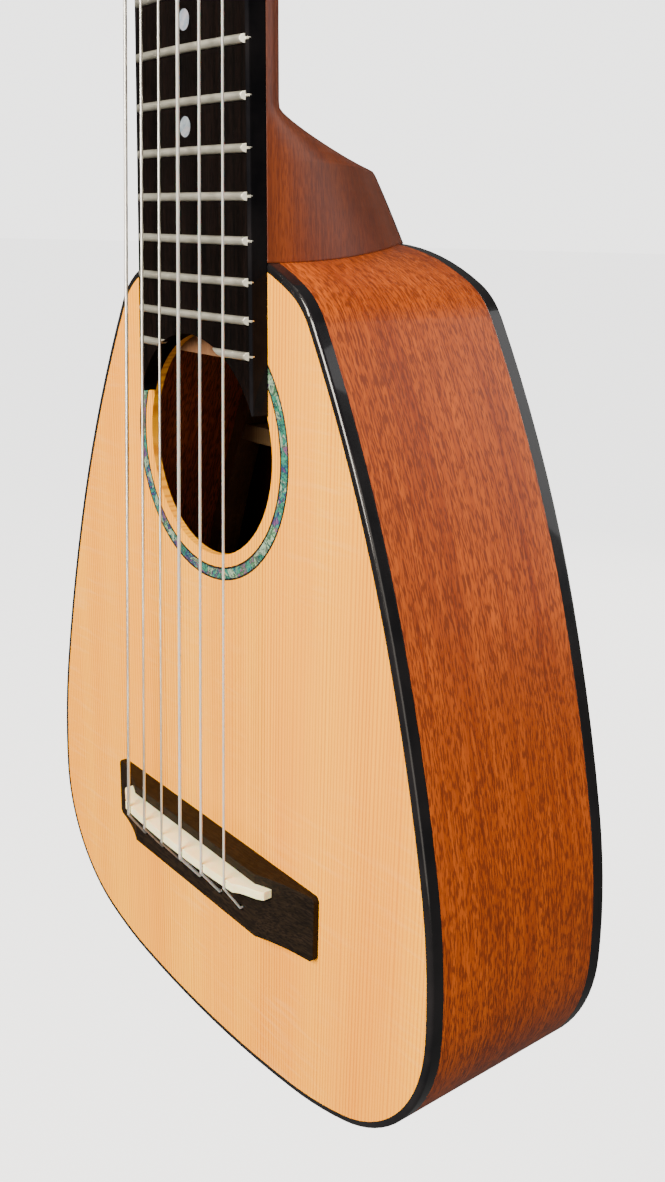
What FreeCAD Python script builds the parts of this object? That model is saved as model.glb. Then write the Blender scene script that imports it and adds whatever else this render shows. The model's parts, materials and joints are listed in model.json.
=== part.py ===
import FreeCAD, Part
import math
import os
import Sketcher
from FreeCAD import Placement, Rotation, Vector

# A small six-string guitar with a teardrop body, hanging upright by its neck.
# +Z runs up the neck, the soundboard faces -Y, and +X is the treble side.
# Everything is drawn with the neck joint at the height 0, and then lowered so that
# the origin is at the hanger's seat, just above the nut.

doc = FreeCAD.newDocument("small_guitar")
sheet = doc.addObject("Spreadsheet::Sheet", "sizes")

SIZES = {
    "scale_length": 426.0, "joint_fret": 14, "fret_count": 17, "hang_height": 246.0,
    # body outline: radii and end headings of its tangent arcs, from the neck to the tail
    "crown_radius": 86.0, "crown_heading": 29.0, "shoulder_radius": 24.5, "shoulder_heading": 59.5,
    "flank_radius": 415.0, "flank_heading": 71.5, "side_radius": 600.0, "side_heading": 77.5,
    "hip_radius": 210.0, "hip_heading": 90.5, "corner_radius": 52.0, "corner_heading": 161.0,
    "base_radius": 134.0, "base_heading": 173.0,
    "body_depth": 70.3, "rim": 2.2, "top_thick": 2.4, "back_thick": 2.4,
    "top_binding": 4.2, "back_binding": 5.0, "binding_round": 0.9,
    "lining_deep": 10.0, "lining_wide": 5.6,
    "hole_radius": 33.3, "hole_drop": 59.5,
    "rosette_radius": 41.2, "rosette_wide": 4.1, "rosette_line": 0.6, "rosette_deep": 0.9,
    "board_crown": 6.6, "board_radius": 305.0, "board_nut_wide": 49.6, "board_joint_wide": 60.4, "board_end": 46.3,
    "board_binding": 1.6, "scallop_radius": 33.2,
    "fret_wide": 2.3, "fret_tall": 1.1, "fret_inset": 1.5, "tang_wide": 0.6, "tang_deep": 1.8,
    "tang_end": 0.6,
    "dot_radius": 2.7, "dot_deep": 1.2,
    "neck_nut_deep": 12.2, "neck_joint_deep": 14.0, "heel_slope": 3.7, "cap_thick": 1.0,
    "cap_top_deep": 60.0, "cap_top_rise": 21.0,
    "head_tilt": 12.0, "head_thick": 14.0, "head_long": 142.0, "head_wide": 64.0, "throat_long": 21.0,
    "veneer": 1.5,
    "nut_thick": 4.5, "nut_tall": 9.2, "nut_end_tall": 7.6, "nut_string_radius": 250.0,
    "bridge_half": 59.0, "bridge_top": 185.0, "bridge_low": 206.6, "bridge_corner": 1.2,
    "bridge_tall": 8.0, "wing_tall": 1.9, "block_half": 37.0,
    "saddle_drop": 189.6, "saddle_thick": 2.8, "saddle_tall": 15.1, "saddle_radius": 400.0,
    "saddle_flat": 33.5, "saddle_half": 42.8, "saddle_deep": 5.0,
    "string_hole_drop": 200.2, "string_hole_radius": 1.1,
    "saddle_spacing": 11.9, "hole_spacing": 11.9, "nut_spacing": 8.6, "nut_string_tall": 8.5,
    "post_radius": 3.0, "post_out": 13.0, "post_step": 36.0, "post_first": 32.0, "post_side": 21.0,
    "running_gap": 0.05, "plate_thick": 1.0, "gear_thick": 2.6, "gear_low": 2.7, "gear_teeth": 14,
    "worm_pitch": 2.0, "worm_radius": 2.0, "journal_radius": 1.5, "lug_near": 5.0, "lug_thick": 1.6,
    "button_long": 14.0, "button_wide": 15.0, "button_thick": 8.6,
}
for row, (alias, value) in enumerate(SIZES.items(), 1):
    sheet.set("A%d" % row, alias)
    sheet.set("B%d" % row, str(value))
    sheet.setAlias("B%d" % row, alias)
doc.recompute()

nodes = {}


def size(alias):
    return float(sheet.get(alias))


def keep(label, item):
    """Name a finished piece and lower it, so that the hanger's seat is the origin."""
    item.Label = label
    item.setExpression("Placement.Base.z", "-sizes.hang_height")
    nodes[label] = item
    return item


def keep_placed(label, item, placement):
    item.Label = label
    item.Placement = lowered.multiply(placement)
    nodes[label] = item
    return item


lowered = Placement(Vector(0, 0, -size("hang_height")), Rotation())


def piece(label, shape):
    """A finished piece whose shape comes from Part's own functions."""
    item = doc.addObject("Part::Feature", label)
    item.Shape = shape
    return keep(label, item)


def group(label, shapes):
    return piece(label, Part.makeCompound(shapes))


def poly_sketch(body, plane, points, name):
    """A closed polygon whose corners are bound to expressions of the sheet's cells."""
    sketch = body.newObject("Sketcher::SketchObject", name)
    support = [part for part in body.Origin.OriginFeatures if part.Role == plane][0]
    sketch.AttachmentSupport = [(support, "")]
    sketch.MapMode = "FlatFace"
    count = len(points)
    corners = [Vector(math.cos(2 * math.pi * k / count), math.sin(2 * math.pi * k / count), 0)
               for k in range(count)]
    for k in range(count):
        sketch.addGeometry(Part.LineSegment(corners[k], corners[(k + 1) % count]), False)
    for k in range(count):
        sketch.addConstraint(Sketcher.Constraint("Coincident", k, 2, (k + 1) % count, 1))
    for k, (across, along) in enumerate(points):
        for kind, value, start in (("DistanceX", across, corners[k].x), ("DistanceY", along, corners[k].y)):
            index = sketch.addConstraint(Sketcher.Constraint(kind, -1, 1, k, 1, start))
            sketch.setExpression("Constraints[%d]" % index, value)
    return sketch


def padded_body(label, plane, points, length, middle=False, turned=False):
    body = doc.addObject("PartDesign::Body", label)
    pad = body.newObject("PartDesign::Pad", label + "_pad")
    pad.Profile = poly_sketch(body, plane, points, label + "_sketch")
    pad.setExpression("Length", length)
    pad.Midplane = middle
    pad.Reversed = turned
    doc.recompute()
    return body


def turned_body(label, points):
    """A body turned about its own Y axis from a half section of (radius, height) points."""
    body = doc.addObject("PartDesign::Body", label)
    spin = body.newObject("PartDesign::Revolution", label + "_turn")
    spin.Profile = poly_sketch(body, "XY_Plane", points, label + "_sketch")
    spin.ReferenceAxis = (spin.Profile[0], ["V_Axis"])
    spin.Angle = 360
    doc.recompute()
    return body


def bound(kind, name, sizes, base):
    """A Part primitive with its sizes and its place bound to expressions."""
    item = doc.addObject(kind, name)
    for prop, value in sizes.items():
        item.setExpression(prop, value)
    for axis, value in zip("xyz", base):
        item.setExpression("Placement.Base." + axis, value)
    return item


def cut(name, base, tools):
    for k, tool in enumerate(tools):
        step = doc.addObject("Part::Cut", "%s_cut_%d" % (name, k))
        step.Base = base
        step.Tool = tool
        base = step
    doc.recompute()
    return base


# ---- the body outline and what is made from it ----

ARCS = ["crown", "shoulder", "flank", "side", "hip", "corner", "base"]


def outline_half(inset):
    """The right half's arcs, each as (start, middle, end) in X and Z, moved inwards by inset."""
    x, z, heading = 0.0, 0.0, 0.0
    arcs = []
    for name in ARCS + ["tail"]:
        if name == "tail":
            radius, turn_to = x / math.sin(heading), math.pi
        else:
            radius, turn_to = size(name + "_radius"), math.radians(size(name + "_heading"))
        centre_x = x - radius * math.sin(heading)
        centre_z = z - radius * math.cos(heading)
        middle = (heading + turn_to) / 2
        arcs.append([(centre_x + (radius - inset) * math.sin(a), centre_z + (radius - inset) * math.cos(a))
                     for a in (heading, middle, turn_to)])
        x = centre_x + radius * math.sin(turn_to)
        z = centre_z + radius * math.cos(turn_to)
        heading = turn_to
    return arcs


def outline_wire(inset, y):
    edges = []
    half = outline_half(inset)
    for start, middle, end in half:
        edges.append(Part.Arc(*[Vector(px, y, pz) for px, pz in (start, middle, end)]).toShape())
    for start, middle, end in reversed(half):
        edges.append(Part.Arc(*[Vector(-px, y, pz) for px, pz in (end, middle, start)]).toShape())
    return Part.Wire(edges)


def slab(inset, y, deep):
    """The body's outline, moved inwards, as a solid from y to y + deep."""
    return Part.Face(outline_wire(inset, y)).extrude(Vector(0, deep, 0))


def hoop(outer, inner, y, deep):
    return slab(outer, y, deep).cut(slab(inner, y - 1, deep + 2))


def block(low, high):
    return Part.makeBox(high[0] - low[0], high[1] - low[1], high[2] - low[2], Vector(*low))


def disc(radius, x, z, y, deep):
    return Part.makeCylinder(radius, deep, Vector(x, y, z), Vector(0, 1, 0))


def ring(outer, inner, x, z, y, deep):
    return disc(outer, x, z, y, deep).cut(disc(inner, x, z, y - 1, deep + 2))


depth = size("body_depth")
rim = size("rim")
top_under = size("top_thick")
back_inner = depth - size("back_thick")
hole_z = -size("hole_drop")
half_length = -outline_half(0)[-1][2][1]


def string_offset(number):
    """Steps of string spacing from the middle: string 6 is at -2.5 and string 1 at +2.5."""
    return 3.5 - number


def string_holes(radius, y, deep):
    return [disc(radius, string_offset(n) * size("hole_spacing"), -size("string_hole_drop"), y, deep)
            for n in range(1, 7)]


def rosette():
    outer = size("rosette_radius")
    inner = outer - size("rosette_wide")
    line = size("rosette_line")
    deep = size("rosette_deep")
    group("rosette_lines", [ring(outer, outer - line, 0, hole_z, 0, deep),
                            ring(inner + line, inner, 0, hole_z, 0, deep)])
    piece("rosette_shell", ring(outer - line, inner + line, 0, hole_z, 0, deep))
    return ring(outer, inner, 0, hole_z, -1, deep + 1)


def soundboard():
    plate = slab(rim, 0, top_under)
    plate = plate.cut([disc(size("hole_radius"), 0, hole_z, -1, 9), rosette()])
    piece("soundboard", plate.cut(string_holes(size("string_hole_radius"), -1, 9)))


def binding(label, y, deep, outer_y):
    """A hoop of binding with its outer corner rounded."""
    solid = hoop(0, rim, y, deep)
    corner = [edge for edge in solid.Edges
              if abs(edge.BoundBox.YMin - outer_y) < 1e-6 and abs(edge.BoundBox.YMax - outer_y) < 1e-6
              and on_outer_edge(edge)]
    piece(label, solid.makeFillet(size("binding_round"), corner))


def on_outer_edge(edge):
    """Whether an edge lies on the outline itself and not on its inner copy."""
    probe = edge.valueAt((edge.FirstParameter + edge.LastParameter) / 2)
    outer = outline_wire(0, probe.y)
    return outer.distToShape(Part.Vertex(probe))[0] < rim / 2


def ribs():
    y = size("top_binding")
    deep = depth - size("back_binding") - y
    shell = hoop(0, rim, y, deep)
    piece("treble_rib", shell.common(block((0, 0, -half_length - 9), (200, depth, 9))))
    piece("bass_rib", shell.common(block((-200, 0, -half_length - 9), (0, depth, 9))))


def blocks_and_linings():
    inner = slab(rim, top_under, back_inner - top_under)
    neck_block = inner.common(block((-31, 0, -33), (31, depth, 9)))
    tail_block = inner.common(block((-26, 0, -half_length - 9), (26, depth, -half_length + 16)))
    piece("neck_block", neck_block)
    piece("tail_block", tail_block)
    deep = size("lining_deep")
    wide = rim + size("lining_wide")
    for label, y in (("top_lining", top_under), ("back_lining", back_inner - deep)):
        group(label, hoop(rim, wide, y, deep).cut([neck_block, tail_block]).Solids)


def braces():
    """Cross braces and fan braces under the top, and ladder braces on the back."""
    inner_top = slab(rim + size("lining_wide") + 0.1, top_under, 12)
    plate = block((-62, top_under, -218), (62, top_under + 2, -182))
    piece("bridge_plate", plate.cut(string_holes(size("string_hole_radius"), -1, 9)))
    bars = []
    for z in (hole_z - 43, hole_z - 55):
        bars.append(block((-150, top_under, z - 2.5), (150, top_under + 8, z + 2.5)))
    for k in range(-2, 3):
        bar = block((k * 16 - 2, top_under, -236), (k * 16 + 2, top_under + 5, hole_z - 60))
        bar.rotate(Vector(k * 16, 0, -236), Vector(0, 1, 0), k * 4.0)
        bars.append(bar.cut([plate.copy(), block((-90, 0, -222), (90, 20, -180))]))
    group("top_braces", [solid for bar in bars for solid in bar.common(inner_top).Solids])
    inner_back = slab(rim + size("lining_wide") + 0.1, back_inner - 12, 12)
    bars = [block((-150, back_inner - 9, z - 3), (150, back_inner, z + 3)) for z in (-70, -135, -200)]
    group("back_braces", [solid for bar in bars for solid in bar.common(inner_back).Solids])


# ---- neck, heel and headstock ----

nut_z = size("scale_length") * (1 - 2 ** (-size("joint_fret") / 12))
head_base = Placement(Vector(0, 0, nut_z + size("nut_thick")),
                      Rotation(Vector(1, 0, 0), -size("head_tilt")))


def fret_z(number):
    return size("scale_length") * (2 ** (-number / 12) - 2 ** (-size("joint_fret") / 12))


def board_half(z):
    """Half the fingerboard's width at the height z."""
    low, high = size("board_joint_wide") / 2, size("board_nut_wide") / 2
    return low + (high - low) * z / nut_z


def neck_section(z, half, deep, power, y=0.0):
    """A section of the neck's back: a half ellipse at power 1, pointed above 1, boxy below 1."""
    points = []
    for step in range(9):
        turn = math.pi * step / 8
        side = math.cos(turn)
        points.append(Vector(math.copysign(abs(side) ** power, side) * half if abs(side) > 1e-9 else 0.0,
                             y + deep * max(math.sin(turn), 0.0) ** min(power, 1.0), z))
    curve = Part.BSplineCurve()
    curve.interpolate(points)
    return Part.Wire([curve.toShape(), Part.LineSegment(points[-1], points[0]).toShape()])


def soft_join(first, second, reach, upper):
    """The larger (or smaller) of two lines, with the corner between them rounded over reach."""
    sign = 1 if upper else -1
    return first + sign * reach * math.log1p(math.exp(sign * (second - first) / reach))


def heel_depth(z):
    """How far back the heel's spine reaches at the height z: the cap's line, the heel's slope, then the shaft."""
    top_deep, top_rise = size("cap_top_deep"), size("cap_top_rise")
    slope = top_deep + 0.8 + size("heel_slope") * (top_rise - z)
    below = top_deep + 0.8 + 0.75 * (top_rise - z)
    shaft = size("neck_joint_deep") + (size("neck_nut_deep") - size("neck_joint_deep")) * z / nut_z
    return soft_join(shaft, soft_join(slope, below, 0.5, False), 1.3, True)


def heel():
    """The neck's lower end, swelling back to the full depth of the body."""
    heights = [-12, 0, 5, 10, 14, 17, 19, 20, 21, 22, 24, 26, 27.5, 28.5, 29.5, 30.3, 31.1, 32, 33, 34,
               35.5, 37.5, 40, 44, 50]
    wires = []
    for z in heights:
        deep = heel_depth(z)
        swell = min(1.0, (deep - size("neck_joint_deep")) / 50) if deep > size("neck_joint_deep") else 0.0
        wires.append(neck_section(z, board_half(z), deep, 1 + 0.8 * swell ** 0.8))
    return Part.makeLoft(wires, True, True)


def cap_slab(thick):
    """Everything behind the heel cap's plane, moved towards the front by thick."""
    run = depth - size("cap_top_deep")
    lean = math.degrees(math.atan2(run, size("cap_top_rise")))
    slab_box = Part.makeBox(200, 100, 200, Vector(-100, -thick, -100))
    slab_box.rotate(Vector(0, 0, 0), Vector(1, 0, 0), lean)
    slab_box.translate(Vector(0, depth, 0))
    return slab_box


def head_outline(with_throat):
    """The headstock's face in its own X and Z, wider at its crowned top."""
    start = size("board_nut_wide") / 2
    wide = size("head_wide") / 2
    top = size("head_long")
    throat_end = Vector(wide - 1.2, 0, size("throat_long"))
    straight_end = Vector(wide, 0, top - 8)
    edges = [Part.LineSegment(throat_end, straight_end).toShape()]
    low = throat_end
    if with_throat:
        low = Vector(start, 0, -4)
        side = Part.BSplineCurve()
        side.interpolate([low, Vector(start + 0.6, 0, 9), throat_end])
        edges.append(side.toShape())
    corner = Vector(wide - 8, 0, top)
    edges.append(Part.Arc(straight_end, Vector(wide - 2.4, 0, top - 2.2), corner).toShape())
    crown = Part.Arc(corner, Vector(0, 0, top + 5), Vector(-corner.x, 0, top)).toShape()
    mirrored = [edge.mirror(Vector(0, 0, 0), Vector(1, 0, 0)) for edge in edges]
    close = Part.LineSegment(low, Vector(-low.x, 0, low.z)).toShape()
    return Part.Wire(Part.__sortEdges__(edges + [crown] + mirrored + [close]))


def throat():
    """The blend from the neck's round back to the headstock's flat back."""
    start = size("board_nut_wide") / 2
    wide = size("head_wide") / 2
    stations = [(-5.0, start, size("neck_nut_deep"), 1.0), (3.0, start, size("neck_nut_deep"), 0.85),
                (12.0, start + 1.4, size("head_thick") - 0.3, 0.5),
                (size("throat_long"), wide - 1.2, size("head_thick"), 0.25)]
    wires = [neck_section(z, half, deep, power) for z, half, deep, power in stations]
    solid = Part.makeLoft(wires, True, True)
    solid.Placement = head_base
    return solid


def tuner_places():
    """The foot of each post on the headstock's back, with its own frame: X points outwards."""
    places = {}
    for number in range(1, 7):
        treble = number <= 3
        step = number - 1 if treble else 6 - number
        spot = Vector(size("post_side") * (1 if treble else -1), size("head_thick"),
                      size("post_first") + step * size("post_step"))
        places[number] = Placement(spot, Rotation(Vector(0, 1, 0), 0 if treble else 180))
    return places


def neck():
    shaft = Part.makeLoft([neck_section(50, board_half(50), heel_depth(50), 1.0),
                           neck_section(nut_z, board_half(nut_z), size("neck_nut_deep"), 1.0)],
                          True, True)
    full_heel = heel().cut(slab(0, -1, depth + 30))
    face = Part.Face(head_outline(False))
    head = face.extrude(Vector(0, size("head_thick"), 0))
    head.Placement = head_base
    rod = full_heel.cut(cap_slab(size("cap_thick"))).fuse([shaft, throat(), head])
    in_front = block((-45, -30, -50), (45, 0, nut_z + size("nut_thick")))
    piece("neck", rod.cut(in_front).removeSplitter().cut(head_holes()))
    cap = full_heel.common(cap_slab(size("cap_thick"))).cut(cap_slab(0))
    piece("heel_cap", cap)


def head_holes():
    holes = []
    back = size("head_thick")
    for place in tuner_places().values():
        wide = Part.makeCylinder(4.5, 30, Vector(0, -back - 22, 0), Vector(0, 1, 0))
        narrow = Part.makeCylinder(3.5, 60, Vector(0, -40, 0), Vector(0, 1, 0))
        screws = [Part.makeCylinder(1.2, 8, Vector(x, -8, z), Vector(0, 1, 0)) for x, z in SCREWS]
        for hole in [wide, narrow] + screws:
            hole.Placement = head_base.multiply(place).multiply(hole.Placement)
            holes.append(hole)
    return holes


SCREWS = [(-5.6, 6.4), (7.2, 6.4)]


def veneer():
    face = Part.Face(head_outline(True))
    plate = face.extrude(Vector(0, -size("veneer"), 0))
    plate.Placement = head_base
    front = block((-100, -30, 0), (100, 30, nut_z + size("nut_thick")))
    piece("head_veneer", plate.cut([front] + head_holes()))


# ---- fingerboard, frets, nut ----

def board_prism(inset_low, inset_high, y, deep):
    """The tapered board between two insets from its edges, on the treble side of the middle."""
    low, high = -size("board_end"), nut_z
    corners = [Vector(board_half(low) - inset_low, y, low), Vector(board_half(high) - inset_low, y, high)]
    if inset_high is None:
        corners += [Vector(-corners[1].x, y, high), Vector(-corners[0].x, y, low)]
    else:
        corners += [Vector(board_half(high) - inset_high, y, high), Vector(board_half(low) - inset_high, y, low)]
    return Part.Face(Part.makePolygon(corners + [corners[0]])).extrude(Vector(0, deep, 0))


def round_top(rise):
    """Everything under the fingerboard's rounded playing surface, raised by rise."""
    radius = size("board_radius") + rise
    drop = size("board_radius") - size("board_crown")
    return Part.makeCylinder(radius, 400, Vector(0, drop, -100), Vector(0, 0, 1))


def swept_wire(profile, half):
    """A profile face at the middle of the board, turned round the playing surface's axis to both sides."""
    drop = size("board_radius") - size("board_crown")
    turn = math.degrees(math.asin(half / size("board_radius")))
    middle = Vector(0, drop, 0)
    profile.rotate(middle, Vector(0, 0, 1), -turn)
    return profile.revolve(middle, Vector(0, 0, 1), 2 * turn)


def fret(number):
    """One fret: a rounded crown with bevelled ends on a tang that shows at the board's edges."""
    z, edge = fret_z(number), board_half(fret_z(number))
    half = edge - size("fret_inset")
    wide, tall, thin = size("fret_wide") / 2, size("fret_tall"), size("tang_wide") / 2
    base = -size("board_crown")
    arch = Part.Arc(Vector(0, base, z - wide), Vector(0, base - tall, z), Vector(0, base, z + wide))
    foot = Part.LineSegment(Vector(0, base, z + wide), Vector(0, base, z - wide))
    crown = swept_wire(Part.Face(Part.Wire([arch.toShape(), foot.toShape()])), half)
    side = base + half * half / (2 * size("board_radius"))
    bevel = 0.8
    ends = [Vector(-half, 0, z - 2), Vector(half, 0, z - 2), Vector(half, side, z - 2),
            Vector(half - 3 * bevel, side - 3, z - 2), Vector(-half + 3 * bevel, side - 3, z - 2),
            Vector(-half, side, z - 2)]
    trimmed = crown.common(Part.Face(Part.makePolygon(ends + [ends[0]])).extrude(Vector(0, 0, 4)))

    def blade(reach, deep):
        corners = [Vector(0, base, z - thin), Vector(0, base + deep, z - thin), Vector(0, base + deep, z + thin),
                   Vector(0, base, z + thin)]
        return swept_wire(Part.Face(Part.makePolygon(corners + [corners[0]])), reach)

    within = Part.makeBox(2 * edge, 20, 4, Vector(-edge, -15, z - 2))
    tang = blade(half, size("tang_deep")).fuse(blade(edge + 1, size("tang_end")).common(within)).removeSplitter()
    return trimmed.fuse(tang).removeSplitter(), tang


def fingerboard():
    crown, top = size("board_crown"), round_top(0)
    scallop = disc(size("scallop_radius"), 0, hole_z, -30, 60)
    frets, slots = [], []
    for number in range(1, int(size("fret_count")) + 1):
        wire, tang = fret(number)
        frets += wire.cut(scallop).Solids
        slots.append(tang)
    group("frets", frets)
    middles = [(fret_z(n) + fret_z(n - 1)) / 2 for n in (5, 7, 10, 12)]
    dots = [disc(size("dot_radius"), 0, z, -crown, size("dot_deep")).common(top) for z in middles]
    group("position_dots", dots)
    board = board_prism(size("board_binding"), None, -crown, crown).common(top)
    piece("fingerboard", board.cut([scallop] + slots + dots))
    strip = board_prism(0, size("board_binding"), -crown, crown).common(top)
    other = strip.mirror(Vector(0, 0, 0), Vector(1, 0, 0))
    group("board_binding", [side.cut([scallop] + slots) for side in (strip, other)])


def nut():
    half = "sizes.board_nut_wide / 2"
    blank = padded_body("nut_blank", "XY_Plane",
                        [("-%s" % half, "0"), (half, "0"), (half, "-sizes.nut_end_tall + 0.8"),
                         ("%s - 0.8" % half, "-sizes.nut_end_tall"), ("%s / 2" % half, "-sizes.nut_tall + 0.4"),
                         ("0", "-sizes.nut_tall"), ("-%s / 2" % half, "-sizes.nut_tall + 0.4"),
                         ("-%s + 0.8" % half, "-sizes.nut_end_tall"),
                         ("-%s" % half, "-sizes.nut_end_tall + 0.8")], "sizes.nut_thick")
    blank.Placement = Placement(Vector(0, 0, nut_z), Rotation())
    slots = doc.addObject("Part::Feature", "nut_slots")
    slots.Shape = Part.makeCompound([string_run(n, STRING_RADIUS[n] + 0.05, cutter=True) for n in range(1, 7)])
    keep("nut", cut("nut", blank, [slots]))


# ---- bridge, saddle and strings ----

STRING_RADIUS = {1: 0.36, 2: 0.41, 3: 0.51, 4: 0.38, 5: 0.45, 6: 0.55}


def bridge():
    """A raised block with thin wings that slope away from it."""
    half, top, low, corner = size("bridge_half"), -size("bridge_top"), -size("bridge_low"), size("bridge_corner")
    plan = [Vector(-half + corner, 0, top), Vector(half - corner, 0, top), Vector(half, 0, top - corner),
            Vector(half, 0, low + corner), Vector(half - corner, 0, low), Vector(-half + corner, 0, low),
            Vector(-half, 0, low + corner), Vector(-half, 0, top - corner)]
    solid = Part.Face(Part.makePolygon(plan + [plan[0]])).extrude(Vector(0, -20, 0))
    tall, wing, start = size("bridge_tall"), size("wing_tall"), size("block_half")
    slope = Part.BSplineCurve()
    slope.interpolate([Vector(start, -tall, 0), Vector(start + 4, -tall + 1.6, 0), Vector(start + 13, -wing - 1.8, 0),
                       Vector(half + 1, -wing, 0)])
    edges = [Part.LineSegment(Vector(0, -tall, 0), Vector(start, -tall, 0)).toShape(), slope.toShape(),
             Part.LineSegment(Vector(half + 1, -wing, 0), Vector(half + 1, 0, 0)).toShape(),
             Part.LineSegment(Vector(half + 1, 0, 0), Vector(0, 0, 0)).toShape()]
    mirrored = [edge.mirror(Vector(0, 0, 0), Vector(1, 0, 0)) for edge in edges]
    profile = Part.Face(Part.Wire(Part.__sortEdges__(edges + mirrored)))
    profile.translate(Vector(0, 0, -300))
    solid = solid.common(profile.extrude(Vector(0, 0, 200)))
    holes = string_holes(size("string_hole_radius"), -30, 40)
    piece("bridge", solid.cut([saddle_shape()] + holes).removeSplitter())


def saddle_shape():
    """The saddle's bar: a gently arched top whose ends sweep down to the bridge."""
    half, flat, thick = size("saddle_half"), size("saddle_flat"), size("saddle_thick")
    floor, tall, radius = -size("saddle_deep"), -size("saddle_tall"), size("saddle_radius")
    base, z = -size("bridge_tall"), -size("saddle_drop") - thick / 2
    shoulder = tall + flat * flat / (2 * radius)
    arch = Part.Arc(Vector(-flat, shoulder, z), Vector(0, tall, z), Vector(flat, shoulder, z)).toShape()
    sweep = Part.BSplineCurve()
    sweep.interpolate([Vector(flat, shoulder, z), Vector(flat + 3.4, base - 3.4, z), Vector(half - 1.6, base - 1.7, z),
                       Vector(half, base - 0.5, z)])
    end = [sweep.toShape(), Part.LineSegment(Vector(half, base - 0.5, z), Vector(half, floor, z)).toShape(),
           Part.LineSegment(Vector(half, floor, z), Vector(0, floor, z)).toShape()]
    other = [edge.mirror(Vector(0, 0, 0), Vector(1, 0, 0)) for edge in end]
    return Part.Face(Part.Wire(Part.__sortEdges__([arch] + end + other))).extrude(Vector(0, 0, thick))


def string_points(number):
    """The string's bends: its knot, its hole, the saddle, the nut, and the post it runs to."""
    step = string_offset(number)
    radius = STRING_RADIUS[number]
    hole_x = step * size("hole_spacing")
    drop = -size("string_hole_drop")
    place = tuner_places()[number]
    winding = size("post_radius") + 2 * radius + radius + 0.35
    side = -1 if number <= 3 else 1
    spot = Vector(place.Base.x + side * winding, -size("veneer") - 6.0, place.Base.z)
    lift = radius + 0.08
    saddle_back = -size("saddle_drop") - size("saddle_thick") / 2
    saddle_x, nut_x = step * size("saddle_spacing"), step * size("nut_spacing")
    saddle_y = -size("saddle_tall") + saddle_x ** 2 / (2 * size("saddle_radius")) - lift
    nut_y = -size("nut_string_tall") + nut_x ** 2 / (2 * size("nut_string_radius"))
    return [Vector(hole_x, top_under + 3.6, drop), Vector(hole_x, -size("bridge_tall") - 0.3, drop),
            Vector(saddle_x, saddle_y, saddle_back - 0.4 * lift), Vector(nut_x, nut_y, nut_z + 1.0),
            head_base.multVec(spot)]


def string_run(number, radius, cutter=False):
    """Straight rods joined by balls, one for each run of the string."""
    points = string_points(number)
    if cutter:
        points = [points[2], points[3], points[4]]
    rods = []
    for start, end in zip(points, points[1:]):
        rods.append(Part.makeCylinder(radius, (end - start).Length, start, end - start))
    balls = [Part.makeSphere(radius, point) for point in points[1:-1]]
    return rods[0].fuse(rods[1:] + balls).removeSplitter()


def strings():
    beads = []
    for number in range(1, 7):
        piece("string_%d" % number, string_run(number, STRING_RADIUS[number]))
        foot = string_points(number)[0]
        knot = Part.makeSphere(1.9, foot + Vector(0, 1.2, 0))
        beads.append(knot.cut(string_run(number, STRING_RADIUS[number])))
    group("string_knots", beads)


# ---- tuning machines, each in its post's own frame: X outwards, Y out of the headstock's back ----

def worm_drop():
    return size("gear_teeth") * size("worm_pitch") / (2 * math.pi) + size("worm_radius") + 0.05


def gear_shape():
    """A thin gear whose tooth points straight at the worm at rest."""
    teeth = int(size("gear_teeth"))
    pitch_radius = teeth * size("worm_pitch") / (2 * math.pi)
    flank = [(pitch_radius - 0.75, 0.62), (pitch_radius, 0.38), (pitch_radius + 0.5, 0.2)]
    points = []
    for k in range(teeth):
        turn = -math.pi / 2 + 2 * math.pi * k / teeth
        for side, order in ((-1, flank), (1, reversed(flank))):
            for radius, half in order:
                angle = turn + side * half / radius
                points.append(Vector(radius * math.cos(angle), size("gear_low"), radius * math.sin(angle)))
    return Part.Face(Part.makePolygon(points + [points[0]])).extrude(Vector(0, size("gear_thick"), 0))


def post_profile():
    post, gap = "sizes.post_radius", "sizes.running_gap"
    front = "-sizes.head_thick - sizes.veneer - sizes.post_out"
    shoulder = "sizes.plate_thick + " + gap
    gear_top = "sizes.gear_low + sizes.gear_thick"
    return [("0", front), (post + " - 0.8", front), (post, front + " + 0.8"),
            (post, front + " + 5.2"), (post + " - 0.5", front + " + 6.2"), (post + " - 0.5", front + " + 9.4"),
            (post, front + " + 10.4"), (post, shoulder), (post + " + 0.6", shoulder),
            (post + " + 0.6", gear_top + " + 0.4"), ("1.9", gear_top + " + 0.4"),
            ("1.7", gear_top + " + 1.3"), ("0", gear_top + " + 1.3")]


def worm_shape():
    """A shaft with a helical thread between its two bearings."""
    pitch, middle = size("worm_pitch"), size("worm_radius")
    root, outer = middle - 0.75, middle + 0.5
    length = 4 * pitch
    helix = Part.makeHelix(pitch, length, middle)
    section = Part.makePolygon([Vector(root - 0.15, 0, -0.6), Vector(outer, 0, -0.2), Vector(outer, 0, 0.2),
                                Vector(root - 0.15, 0, 0.6), Vector(root - 0.15, 0, -0.6)])
    thread = Part.Wire(helix).makePipeShell([section], True, True)
    thread.translate(Vector(0, 0, -length / 2))
    journal = size("journal_radius")
    bearing = size("lug_near") - 0.1
    far = size("lug_near") + size("lug_thick") + 0.5
    reach = button_start()
    core = Part.makeCylinder(root, 2 * bearing, Vector(0, 0, -bearing))
    inner = Part.makeCylinder(journal, far - bearing, Vector(0, 0, -far))
    outer_rod = Part.makeCylinder(journal, reach - bearing, Vector(0, 0, bearing))
    tongue = Part.makeCylinder(1.1, 6, Vector(0, 0, reach))
    shaft = core.fuse([thread, inner, outer_rod, tongue])
    shaft.rotate(Vector(0, 0, 0), Vector(0, 1, 0), 90)
    shaft.translate(Vector(0, worm_height(), -worm_drop()))
    return shaft


def worm_height():
    return size("gear_low") + size("gear_thick") / 2


def button_start():
    return size("head_wide") / 2 - size("post_side") + 3.0


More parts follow.
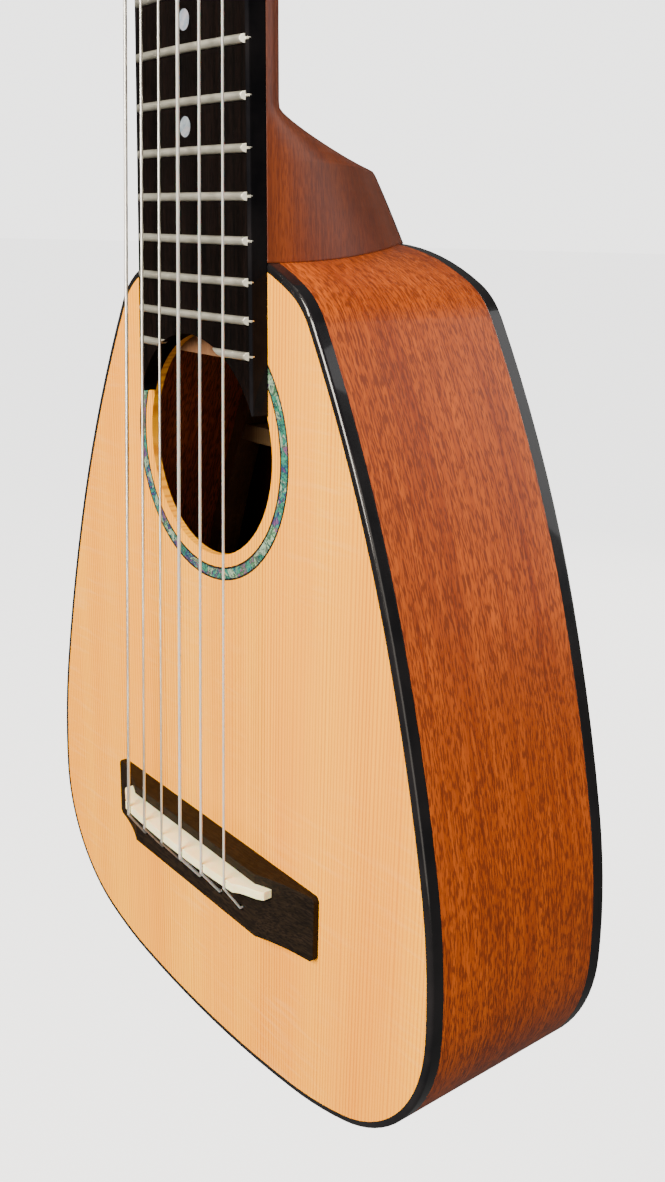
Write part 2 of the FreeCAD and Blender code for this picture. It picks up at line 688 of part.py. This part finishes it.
def button_shape():
    """An oval, waisted button on the end of the worm's shaft."""
    long, wide, thick = size("button_long"), size("button_wide") / 2, size("button_thick") / 2
    wires = []
    for share, grow in ((0.0, 0.36), (0.14, 0.42), (0.4, 0.9), (0.66, 1.0), (0.9, 0.86), (1.0, 0.6)):
        flat = thick * (0.62 + 0.38 * grow) if share > 0.1 else thick * 0.7
        oval = Part.Ellipse(Vector(0, 0, 0), max(wide * grow, flat + 0.05), flat).toShape()
        oval.translate(Vector(0, 0, long * share))
        wires.append(Part.Wire(oval))
    solid = Part.makeLoft(wires, True, False)
    solid.rotate(Vector(0, 0, 0), Vector(0, 1, 0), 90)
    solid.translate(Vector(button_start(), worm_height(), -worm_drop()))
    bore = Part.makeCylinder(1.1, 6, Vector(button_start(), worm_height(), -worm_drop()), Vector(1, 0, 0))
    return solid.cut(bore)


def plate_shape():
    """A stamped plate with a hole for the post and two lugs that hold the worm's shaft."""
    thick, drop = size("plate_thick"), worm_drop()
    plate = block((-8, 0, -drop - 4), (9.5, thick, 9))
    plate = plate.makeFillet(1.5, [edge for edge in plate.Edges if abs(edge.tangentAt(0).y) > 0.9])
    near, wide = size("lug_near"), size("lug_thick")
    lugs = []
    for low in (-near - wide, near):
        lug = block((low, 0, -drop - 2.6), (low + wide, worm_height() + 2.7, -drop + 2.5))
        lugs.append(lug)
    bore = Part.makeCylinder(size("journal_radius") + size("running_gap"), 40,
                             Vector(-20, worm_height(), -drop), Vector(1, 0, 0))
    post_hole = disc(size("post_radius") + size("running_gap"), 0, 0, -1, 4)
    screw_holes = [disc(1.3, x, z, -1, 4) for x, z in SCREWS]
    return plate.fuse(lugs).removeSplitter().cut([bore, post_hole] + screw_holes)


def screw_shape(x, z):
    """A small round-headed screw with a cross slot."""
    thick = size("plate_thick")
    shank = Part.makeCylinder(1.2, 7.0 + thick, Vector(x, -7.0, z), Vector(0, 1, 0))
    head = Part.makeSphere(3.0, Vector(x, thick - 1.6, z)).common(disc(2.2, x, z, thick, 2))
    slots = [block((x - 1.5, thick + 0.7, z - 0.25), (x + 1.5, thick + 3, z + 0.25)),
             block((x - 0.25, thick + 0.7, z - 1.5), (x + 0.25, thick + 3, z + 1.5))]
    return shank.fuse(head).cut(slots)


def bushing_shape():
    front = -size("head_thick") - size("veneer")
    sleeve = disc(4.5, 0, 0, front, 8.0)
    flange = disc(5.8, 0, 0, front - 1.2, 1.2)
    return sleeve.fuse(flange).cut(disc(size("post_radius") + size("running_gap"), 0, 0, -40, 60))


def winding_shape(number):
    """The string's turns round its post."""
    radius = STRING_RADIUS[number]
    front = -size("head_thick") - size("veneer") - 6.0
    turns = [Part.makeTorus(size("post_radius") + radius + 0.02, radius, Vector(0, front + k * 1.96 * radius, 0),
                            Vector(0, 1, 0)) for k in range(-1, 3)]
    return turns[0].fuse(turns[1:])


def tuners():
    plates, screws, bushings = [], [], []
    for number, place in tuner_places().items():
        spot = head_base.multiply(place)
        turned = turned_body("post_turned_%d" % number, post_profile())
        gear = doc.addObject("Part::Feature", "gear_%d" % number)
        gear.Shape = gear_shape()
        joined = doc.addObject("Part::Fuse", "post_blank_%d" % number)
        joined.Base, joined.Tool = turned, gear
        hole = bound("Part::Cylinder", "string_hole_%d" % number, {"Radius": "0.9", "Height": "12"},
                     ["-6", "-sizes.head_thick - sizes.veneer - sizes.post_out + 7.8", "0"])
        hole.Placement = Placement(hole.Placement.Base, Rotation(Vector(0, 1, 0), 90))
        doc.recompute()
        keep_placed("post_%d" % number, cut("post_%d" % number, joined, [hole]), spot)
        for label, shape in (("winding", winding_shape(number)), ("worm", worm_shape()),
                             ("button", button_shape())):
            item = doc.addObject("Part::Feature", "%s_%d" % (label, number))
            item.Shape = shape
            keep_placed("%s_%d" % (label, number), item, spot.multiply(shape.Placement))
        parts = [(plates, plate_shape()), (bushings, bushing_shape())]
        parts += [(screws, screw_shape(x, z)) for x, z in SCREWS]
        for holder, shape in parts:
            shape.Placement = spot.multiply(shape.Placement)
            holder.append(shape)
    group("tuner_plates", plates)
    group("tuner_screws", screws)
    group("post_bushings", bushings)


# ---- build, check and write ----

soundboard()
piece("back_plate", slab(rim, back_inner, size("back_thick")))
ribs()
binding("top_binding", 0, size("top_binding"), 0)
binding("back_binding", depth - size("back_binding"), size("back_binding"), depth)
blocks_and_linings()
braces()
neck()
veneer()
fingerboard()
nut()
bridge()
piece("saddle", saddle_shape())
strings()
tuners()
doc.recompute()

for item in doc.Objects:
    if "Invalid" in item.State or "Error" in item.State:
        raise RuntimeError("failed object: %s %s" % (item.Label, item.State))
for label, item in nodes.items():
    shape = item.Shape
    if shape.isNull() or not shape.isValid() or not shape.Solids:
        raise RuntimeError("bad shape: " + label)

os.makedirs("parts", exist_ok=True)
for label, item in nodes.items():
    item.Shape.exportStep("parts/%s.step" % label)
box_all = Part.makeCompound([item.Shape for item in nodes.values()]).BoundBox
print("nodes", len(nodes), "box", box_all)
for label, item in nodes.items():
    print("%-16s solids %2d volume %9.1f" % (label, len(item.Shape.Solids), item.Shape.Volume))
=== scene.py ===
import json
import math

import bmesh
import bpy
from mathutils import Matrix, Vector


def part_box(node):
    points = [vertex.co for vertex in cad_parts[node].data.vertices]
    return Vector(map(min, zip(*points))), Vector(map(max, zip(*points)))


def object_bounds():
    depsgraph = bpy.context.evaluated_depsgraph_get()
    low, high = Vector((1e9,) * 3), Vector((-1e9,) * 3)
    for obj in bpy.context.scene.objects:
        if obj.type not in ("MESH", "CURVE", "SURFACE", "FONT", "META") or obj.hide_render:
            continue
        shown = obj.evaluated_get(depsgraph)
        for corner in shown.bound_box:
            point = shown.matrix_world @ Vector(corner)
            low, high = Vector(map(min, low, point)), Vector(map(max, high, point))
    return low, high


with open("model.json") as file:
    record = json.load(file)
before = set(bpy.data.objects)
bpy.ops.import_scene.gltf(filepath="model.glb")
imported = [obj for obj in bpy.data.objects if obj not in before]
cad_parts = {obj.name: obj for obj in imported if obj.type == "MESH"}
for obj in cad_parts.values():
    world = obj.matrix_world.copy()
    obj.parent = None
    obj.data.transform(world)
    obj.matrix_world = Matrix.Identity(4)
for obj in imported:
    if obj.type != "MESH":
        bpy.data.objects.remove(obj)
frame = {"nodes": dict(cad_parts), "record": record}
cad_low, cad_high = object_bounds()
NODES = frame["nodes"]


# ---------------------------------------------------------------- camera
def make_camera(place, yaw, pitch, roll, upright_view):
    """A camera at place that looks yaw degrees left of straight ahead and pitch degrees down."""
    turn, tip, lean = (math.radians(angle) for angle in (yaw, pitch, roll))
    back = Vector((math.sin(turn) * math.cos(tip), -math.cos(turn) * math.cos(tip), math.sin(tip)))
    right = Vector((math.cos(turn), math.sin(turn), 0))
    up = back.cross(right)
    across = right * math.cos(lean) + up * math.sin(lean)
    upward = up * math.cos(lean) - right * math.sin(lean)
    data = bpy.data.cameras.new("camera")
    data.sensor_fit = "VERTICAL"
    data.sensor_height = 36
    data.sensor_width = 36
    data.lens = 18 / math.tan(math.radians(upright_view / 2))
    data.clip_start = 0.01
    camera = bpy.data.objects.new("camera", data)
    camera.matrix_world = Matrix((
        (across.x, upward.x, back.x, place[0]),
        (across.y, upward.y, back.y, place[1]),
        (across.z, upward.z, back.z, place[2]),
        (0, 0, 0, 1)))
    bpy.context.scene.collection.objects.link(camera)
    bpy.context.scene.camera = camera


make_camera(place=(0.29644, -0.18783, -0.24274), yaw=51.332, pitch=17.149, roll=1.392, upright_view=53.67)


# ---------------------------------------------------------------- node materials
class Look:
    """A node material: its shader, and short calls that add nodes to it. Lengths are in metres."""

    def __init__(self, name, **values):
        self.material = bpy.data.materials.new(name)
        self.material.use_nodes = True
        self.tree = self.material.node_tree
        self.shader = self.tree.nodes["Principled BSDF"]
        for socket, value in values.items():
            self.shader.inputs[socket.replace("_", " ")].default_value = value
        self.place = self.add("ShaderNodeTexCoord").outputs["Object"]
        self.parts = self.add("ShaderNodeSeparateXYZ", Vector=self.place).outputs

    def add(self, kind, settings=(), **inputs):
        node = self.tree.nodes.new(kind)
        for name, value in dict(settings).items():
            setattr(node, name, value)
        for name, value in inputs.items():
            self.put(node, name.replace("_", " "), value)
        return node

    def put(self, node, name, value):
        socket = node.inputs[int(name[1:])] if name[0] == "n" and name[1:].isdigit() else node.inputs[name]
        if isinstance(value, bpy.types.NodeSocket):
            self.tree.links.new(value, socket)
        else:
            socket.default_value = value

    def math(self, operation, a, b=0.0, c=0.0):
        return self.add("ShaderNodeMath", {"operation": operation}, n0=a, n1=b, n2=c).outputs[0]

    def stretched(self, x, y, z):
        """The object's own coordinates, scaled by x, y and z."""
        made = self.add("ShaderNodeVectorMath", {"operation": "MULTIPLY"}, n0=self.place, n1=(x, y, z))
        return made.outputs[0]

    def noise(self, vector, scale=1.0, detail=2.0, roughness=0.5):
        made = self.add("ShaderNodeTexNoise", Vector=vector, Scale=scale, Detail=detail, Roughness=roughness)
        return made.outputs["Fac"]

    def ramp(self, factor, *stops):
        """A colour for each (position, colour), blended between."""
        node = self.add("ShaderNodeValToRGB", Fac=factor)
        elements = node.color_ramp.elements
        while len(elements) < len(stops):
            elements.new(0.5)
        for element, (position, colour) in zip(elements, stops):
            element.position = position
            element.color = (*colour, 1) if isinstance(colour, tuple) else (colour, colour, colour, 1)
        return node.outputs["Color"]

    def mix(self, factor, first, second, blend="MIX"):
        node = self.add("ShaderNodeMix", {"data_type": "RGBA", "blend_type": blend}, n0=factor)
        for socket, value in ((node.inputs[6], first), (node.inputs[7], second)):
            if isinstance(value, bpy.types.NodeSocket):
                self.tree.links.new(value, socket)
            else:
                socket.default_value = (*value, 1)
        return node.outputs[2]

    def bump(self, height, strength, distance, onto="Normal", rounded=0.0):
        inputs = {"Height": height, "Strength": strength, "Distance": distance}
        if rounded:
            inputs["Normal"] = self.add("ShaderNodeBevel", {"samples": 4}, Radius=rounded).outputs[0]
        made = self.add("ShaderNodeBump", **inputs).outputs[0]
        self.put(self.shader, onto, made)
        return made

    def colour(self, socket):
        self.put(self.shader, "Base Color", socket)

    def rough(self, factor, low, high):
        made = self.add("ShaderNodeMapRange", Value=factor, To_Min=low, To_Max=high).outputs[0]
        self.put(self.shader, "Roughness", made)


def grained(name, along, dark, light, pore, pores=0.6, gloss=0.0, roughness=0.4, rounded=0.0, figure=0.25,
            level=0.5, painted_shade_y=None, haze=0.04):
    """Open-pored wood with its grain along the axes named: streaks, fibres, short dark pores and soft bands.

    Where a y is given for painted shade, the wood in front of that y (the face within the body) is painted
    nearly black: painted shade that stands for the dark within the closed body.
    """
    look = Look(name, Coat_Weight=gloss, Coat_Roughness=haze, Coat_IOR=1.5, Specular_IOR_Level=level)

    def grain(across_scale, along_scale):
        return look.stretched(*(along_scale if axis in along else across_scale for axis in "xyz"))

    streaks = look.noise(grain(90, 5), 1, 5, 0.6)
    fibres = look.noise(grain(900, 22), 1, 2, 0.6)
    blend = look.math("ADD", look.math("MULTIPLY", streaks, 0.45), look.math("MULTIPLY", fibres, 0.55))
    wood = look.ramp(blend, (0.34, dark), (0.64, light))
    bands = look.noise(grain(11, 30), 1, 3, 0.6)
    shade = look.ramp(bands, (0.3, 1 - figure), (0.7, 1.0))
    wood = look.mix(1.0, wood, shade, "MULTIPLY")
    dashes = look.noise(grain(2300, 330), 1, 1, 0.4)
    thick = look.noise(grain(60, 20), 1, 2)
    dashes = look.math("ADD", dashes, look.math("MULTIPLY", thick, 0.16))
    amount = look.math("MULTIPLY", look.ramp(dashes, (0.55, 0.0), (0.66, 1.0)), pores)
    wood = look.mix(amount, wood, pore)
    # painted shade: wood in front of the given y is multiplied nearly to black
    if painted_shade_y is not None:
        outer = look.math("GREATER_THAN", look.parts["Y"], painted_shade_y)
        wood = look.mix(1.0, wood, look.ramp(outer, (0.0, 0.05), (1.0, 1.0)), "MULTIPLY")
    look.colour(wood)
    look.rough(fibres, roughness * 0.8, roughness * 1.25)
    height = look.math("SUBTRACT", look.math("MULTIPLY", fibres, 0.3), amount)
    look.bump(height, 0.25, 0.00012, rounded=rounded)
    if gloss:
        look.bump(look.noise(look.stretched(14, 14, 14), 1, 2), 0.05, 0.004, "Coat Normal", rounded)
    return look.material


def along_x(look, distance, scale):
    """A vector with only an x part: the distance, scaled."""
    scaled = look.math("MULTIPLY", distance, scale)
    return look.add("ShaderNodeCombineXYZ", X=scaled).outputs[0]


def spruce(name, dark, light, line, gloss, silk=0.03):
    """Straight-grained spruce, the same on both sides of the centre line, with its grain up the object."""
    look = Look(name, Coat_Weight=gloss, Coat_Roughness=0.2, Coat_IOR=1.5, Specular_IOR_Level=0.2)
    from_middle = look.math("ABSOLUTE", look.parts["X"])
    wander = look.noise(look.stretched(9, 9, 1.6), 1, 2)
    across = look.math("ADD", from_middle, look.math("MULTIPLY", wander, 0.006))
    uneven = look.noise(along_x(look, across, 120), 1, 2)
    phase = look.math("ADD", look.math("MULTIPLY", across, 4300), look.math("MULTIPLY", uneven, 16))
    rings = look.math("ADD", look.math("MULTIPLY", look.math("SINE", phase), 0.5), 0.5)
    late = look.ramp(rings, (0.45, 0.0), (0.95, 1.0))
    strength = look.ramp(look.noise(along_x(look, across, 45), 1, 3), (0.35, 0.3), (0.68, 0.95))
    soft = look.noise(look.stretched(30, 30, 2.6), 1, 4, 0.6)
    wood = look.mix(look.ramp(soft, (0.3, 0.0), (0.72, 1.0)), dark, light)
    fibre = look.noise(look.stretched(1700, 1700, 30), 1, 2)
    wood = look.mix(1.0, wood, look.ramp(fibre, (0.3, 0.93), (0.7, 1.0)), "MULTIPLY")
    wood = look.mix(look.math("MULTIPLY", look.math("MULTIPLY", late, strength), 0.72), wood, line)
    flecks = look.noise(look.stretched(38, 38, 420), 1, 3, 0.55)
    patches = look.ramp(look.noise(look.stretched(16, 16, 9), 1, 2), (0.42, 0.0), (0.62, 1.0))
    flecks = look.math("MULTIPLY", look.ramp(flecks, (0.5, 0.0), (0.66, 1.0)), patches)
    look.colour(look.mix(look.math("MULTIPLY", flecks, silk * 2.2), wood, (1.0, 0.8, 0.5)))
    look.rough(flecks, 0.42, 0.34)
    look.bump(look.math("MULTIPLY", late, -1), 0.12, 0.00008)
    return look.material


def shell(name, hues, scale):
    """Pieces of shell: each cell its own run of colours, with fine wavy growth lines."""
    look = Look(name, Metallic=0.25, Coat_Weight=1.0, Coat_Roughness=0.04)
    drift = look.add("ShaderNodeTexNoise", Vector=look.place, Scale=140.0, Detail=2.0).outputs["Color"]
    warped = look.add("ShaderNodeVectorMath", {"operation": "MULTIPLY_ADD"},
                      n0=drift, n1=(0.006,) * 3, n2=look.place).outputs[0]
    cells = look.add("ShaderNodeTexVoronoi", Vector=warped, Scale=scale)
    tone = look.add("ShaderNodeSeparateColor", Color=cells.outputs["Color"]).outputs[0]
    waves = look.noise(warped, scale * 2.6, 4, 0.62)
    runs = look.math("ADD", look.math("MULTIPLY", tone, 0.9), look.math("MULTIPLY", waves, 1.1))
    place = look.math("FRACT", runs)
    steps = [(i / (len(hues) - 1), hue) for i, hue in enumerate(hues)]
    edge = look.ramp(cells.outputs["Distance"], (0.0, 1.0), (0.8, 0.72))
    look.colour(look.mix(1.0, look.ramp(place, *steps), edge, "MULTIPLY"))
    look.rough(waves, 0.12, 0.3)
    look.bump(waves, 0.25, 0.0002)
    return look.material


def black_gloss(name, coat=1.0, level=0.5):
    """Polished black plastic with faint smears in its shine."""
    look = Look(name, Coat_Weight=coat, Coat_Roughness=0.03, Specular_IOR_Level=level)
    smears = look.noise(look.stretched(60, 60, 60), 1, 4, 0.6)
    look.colour(look.ramp(smears, (0.35, (0.004, 0.004, 0.005)), (0.7, (0.010, 0.009, 0.010))))
    look.rough(smears, 0.12, 0.28)
    look.bump(look.noise(look.stretched(35, 35, 35), 1, 2), 0.1, 0.0008, rounded=0.0007)
    return look.material


def metal(name, low, high, roughness, scratches=(900, 900, 60), rounded=0.0002, shine=1.0):
    """Metal with fine scratches and a slightly uneven tarnish."""
    look = Look(name, Metallic=shine)
    lines = look.noise(look.stretched(*scratches), 1, 3, 0.6)
    stain = look.noise(look.stretched(120, 120, 120), 1, 3, 0.6)
    look.colour(look.ramp(stain, (0.35, low), (0.65, high)))
    look.rough(lines, roughness * 0.7, roughness * 1.4)
    look.bump(lines, 0.15, 0.00004, rounded=rounded)
    return look.material


def bone(name, low, high, clear=0.0, streak=(120, 120, 500), rounded=0.0004):
    """Polished bone, ivory-coloured plastic or nylon: faint streaks, and a little light under the surface."""
    look = Look(name, Subsurface_Weight=0.25, Subsurface_Scale=0.0015, Transmission_Weight=clear,
                Coat_Weight=0.6, Coat_Roughness=0.1)
    streaks = look.noise(look.stretched(*streak), 1, 4, 0.6)
    look.colour(look.ramp(streaks, (0.3, low), (0.7, high)))
    look.rough(streaks, 0.25, 0.42)
    look.bump(streaks, 0.08, 0.0001, rounded=rounded)
    return look.material


def wound(name):
    """Fine silver-plated wire wound round a core: close ribs across the string, with painted shade darkening
    the grooves between them.
    """
    look = Look(name, Metallic=0.9)
    shape = {"wave_type": "BANDS", "bands_direction": "Z", "wave_profile": "SIN"}
    ribs = look.add("ShaderNodeTexWave", shape, Vector=look.place, Scale=900.0).outputs["Fac"]
    age = look.noise(look.stretched(300, 300, 40), 1, 3)
    silver = look.ramp(age, (0.3, (0.72, 0.69, 0.64)), (0.7, (0.9, 0.89, 0.86)))
    # painted shade: the colour darkens in the grooves between the ribs
    look.colour(look.mix(1.0, silver, look.ramp(ribs, (0.0, 0.62), (0.6, 1.0)), "MULTIPLY"))
    look.rough(age, 0.22, 0.4)
    look.bump(ribs, 0.5, 0.00008)
    return look.material


# Colours are linear. A wood has a dark, a light and a pore colour.
MAHOGANY = ((0.27, 0.036, 0.001), (0.60, 0.108, 0.002), (0.11, 0.015, 0.002))
NECK = ((0.17, 0.028, 0.005), (0.36, 0.072, 0.012), MAHOGANY[2])
# Block and lining wood is darkened: painted shade for the dark within the body.
SHADED_BLOCK = ((0.14, 0.055, 0.02), (0.24, 0.11, 0.045), (0.08, 0.03, 0.012))
BRIDGE = ((0.004, 0.003, 0.002), (0.016, 0.010, 0.006), (0.003, 0.002, 0.002))
VENEER = ((0.011, 0.006, 0.005), (0.035, 0.020, 0.016), (0.003, 0.002, 0.002))
EBONY = ((0.0005, 0.0003, 0.0003), (0.006, 0.003, 0.0025), (0.0005, 0.0003, 0.0003))
SPRUCE = ((0.86, 0.30, 0.0005), (1.0, 0.44, 0.001), (0.50, 0.11, 0.0005))
# Brace spruce is darkened well below the top's spruce: painted shade for the dark within the body.
SHADED_BRACE = ((0.22, 0.13, 0.06), (0.3, 0.19, 0.09), (0.15, 0.08, 0.03))
ABALONE = [(0.003, 0.05, 0.06), (0.06, 0.34, 0.22), (0.005, 0.03, 0.13), (0.26, 0.10, 0.22),
           (0.01, 0.14, 0.05), (0.42, 0.60, 0.42), (0.003, 0.05, 0.06)]
PEARL = [(0.24, 0.31, 0.40), (0.42, 0.48, 0.54), (0.28, 0.36, 0.46), (0.44, 0.43, 0.48), (0.24, 0.31, 0.40)]
# From this y the back's inner face is painted nearly black: painted shade for the dark within the body.
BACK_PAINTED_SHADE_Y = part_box("back_plate")[1].y - 0.0012
LOOKS = {
    "spruce_top": spruce("spruce_top", *SPRUCE, 0.08),
    "mahogany": grained("mahogany_back", "z", *MAHOGANY, gloss=0.8, haze=0.12, level=0.3, rounded=0.0004,
                        painted_shade_y=BACK_PAINTED_SHADE_Y),
    "mahogany_side": grained("mahogany_side", "xz", *MAHOGANY, gloss=0.7, haze=0.3, level=0.3, pores=0.75,
                             figure=0.18),
    "mahogany_neck": grained("mahogany_neck", "z", *NECK, pores=0.45, gloss=0.5, rounded=0.0006, figure=0.15,
                             haze=0.3, level=0.3),
    "black_binding": black_gloss("black_binding", 0.8, 0.3),
    "board_edge": black_gloss("board_edge", 0.04, 0.0),
    "shell": shell("rosette_shell", ABALONE, 300.0),
    "pearl_dot": shell("pearl_dot", PEARL, 160.0),
    "block_wood": grained("block_wood", "z", *SHADED_BLOCK, pores=0.3, roughness=0.7),
    "brace_wood": spruce("brace_wood", *SHADED_BRACE, 0.0),
    "dark_wood": grained("bridge_wood", "x", *BRIDGE, pores=0.7, roughness=0.6, level=0.08, rounded=0.0004),
    "veneer_wood": grained("veneer_wood", "z", *VENEER, pores=0.5, gloss=0.1, roughness=0.55, rounded=0.0004,
                           level=0.1, haze=0.4),
    "fingerboard_wood": grained("fingerboard_wood", "z", *EBONY, pores=0.6, roughness=0.6, figure=0.3,
                                level=0.04),
    "fret_metal": metal("fret_metal", (0.62, 0.60, 0.51), (0.74, 0.72, 0.63), 0.34, (200, 200, 60), shine=0.85),
    "bone": bone("bone", (0.92, 0.80, 0.42), (0.98, 0.91, 0.60)),
    "nylon": bone("nylon", (0.48, 0.48, 0.47), (0.62, 0.62, 0.6), 0.35, (900, 900, 40), 0.0),
    "wound_string": wound("wound_string"),
    "nickel": metal("nickel", (0.60, 0.58, 0.54), (0.80, 0.79, 0.76), 0.2),
    "steel": metal("steel", (0.42, 0.42, 0.42), (0.6, 0.6, 0.6), 0.32),
    "button_plastic": bone("button_plastic", (0.70, 0.64, 0.5), (0.86, 0.82, 0.7), 0.1, (160, 60, 60)),
}
# Nodes that look different from the rest of their material slot.
OWN_LOOK = {"treble_rib": "mahogany_side", "bass_rib": "mahogany_side", "head_veneer": "veneer_wood",
            "board_binding": "board_edge"}
for entry in frame["record"]["subparts"]:
    node = NODES[entry["node"]]
    chosen = LOOKS[OWN_LOOK.get(entry["node"], entry["material_slot"])]
    node.data.materials.clear()
    node.data.materials.append(chosen)
    for face in node.data.polygons:
        face.material_index = 0


# ---------------------------------------------------------------- floor and light
def make_floor(height, tone):
    """A round, pale, plain floor."""
    mesh = bpy.data.meshes.new("floor")
    built = bmesh.new()
    bmesh.ops.create_circle(built, cap_ends=True, segments=96, radius=60)
    built.to_mesh(mesh)
    built.free()
    floor = bpy.data.objects.new("floor", mesh)
    floor.location = (0, 0, height)
    bpy.context.scene.collection.objects.link(floor)
    look = Look("floor", Roughness=0.9, Specular_IOR_Level=0.2)
    lighter = tuple(1.01 * part for part in tone)
    look.colour(look.ramp(look.noise(look.stretched(3, 3, 3), 1, 2), (0.3, tone), (0.7, lighter)))
    look.shader.inputs["Emission Color"].default_value = (1.0, 0.99, 0.975, 1)
    look.shader.inputs["Emission Strength"].default_value = 2.7
    mesh.materials.append(look.material)
    floor.visible_glossy = False
    floor.visible_diffuse = False


def softbox(name, place, aim, wide, tall, power, warmth=(1, 1, 1), mirrored=True):
    """A rectangular lamp turned towards aim, in metres and watts; mirrored says whether reflections show it."""
    data = bpy.data.lights.new(name, "AREA")
    data.shape = "RECTANGLE"
    data.size = wide
    data.size_y = tall
    data.energy = power
    data.color = warmth
    lamp = bpy.data.objects.new(name, data)
    lamp.location = place
    lamp.rotation_mode = "QUATERNION"
    lamp.rotation_quaternion = (Vector(aim) - Vector(place)).to_track_quat("-Z", "Y")
    lamp.visible_glossy = mirrored
    bpy.context.scene.collection.objects.link(lamp)


def make_world(seen, light):
    """A plain pale background for the eye, and a dimmer sky that lights the object."""
    world = bpy.data.worlds.new("studio")
    world.use_nodes = True
    tree = world.node_tree
    backdrop = tree.nodes["Background"]
    backdrop.inputs["Color"].default_value = (*seen, 1)
    sky = tree.nodes.new("ShaderNodeBackground")
    sky.inputs["Color"].default_value = (1.0, 0.985, 0.96, 1)
    sky.inputs["Strength"].default_value = light
    path = tree.nodes.new("ShaderNodeLightPath")
    chosen = tree.nodes.new("ShaderNodeMixShader")
    tree.links.new(path.outputs["Is Camera Ray"], chosen.inputs[0])
    tree.links.new(sky.outputs[0], chosen.inputs[1])
    tree.links.new(backdrop.outputs[0], chosen.inputs[2])
    tree.links.new(chosen.outputs[0], tree.nodes["World Output"].inputs["Surface"])
    bpy.context.scene.world = world


WARM = (1.0, 0.925, 0.80)
FLOOR_BELOW = 0.45
make_floor(cad_low.z - FLOOR_BELOW, (0.36, 0.355, 0.35))
make_world((3.0, 2.97, 2.92), 0.1)
middle = Vector((0, 0.03, -0.3))
softbox("key", (0.35, -1.9, 0.75), middle, 1.4, 1.4, 205, WARM)
softbox("side", (1.9, -0.5, 0.0), middle, 1.8, 1.8, 17, WARM)
softbox("above", (0.0, -0.5, 2.1), middle, 1.6, 1.6, 7, WARM)
softbox("rim", (0.9, 1.7, 0.4), middle, 0.9, 1.4, 5)
softbox("back", (-0.7, 2.1, 0.3), middle, 1.6, 1.8, 38, WARM, mirrored=False)
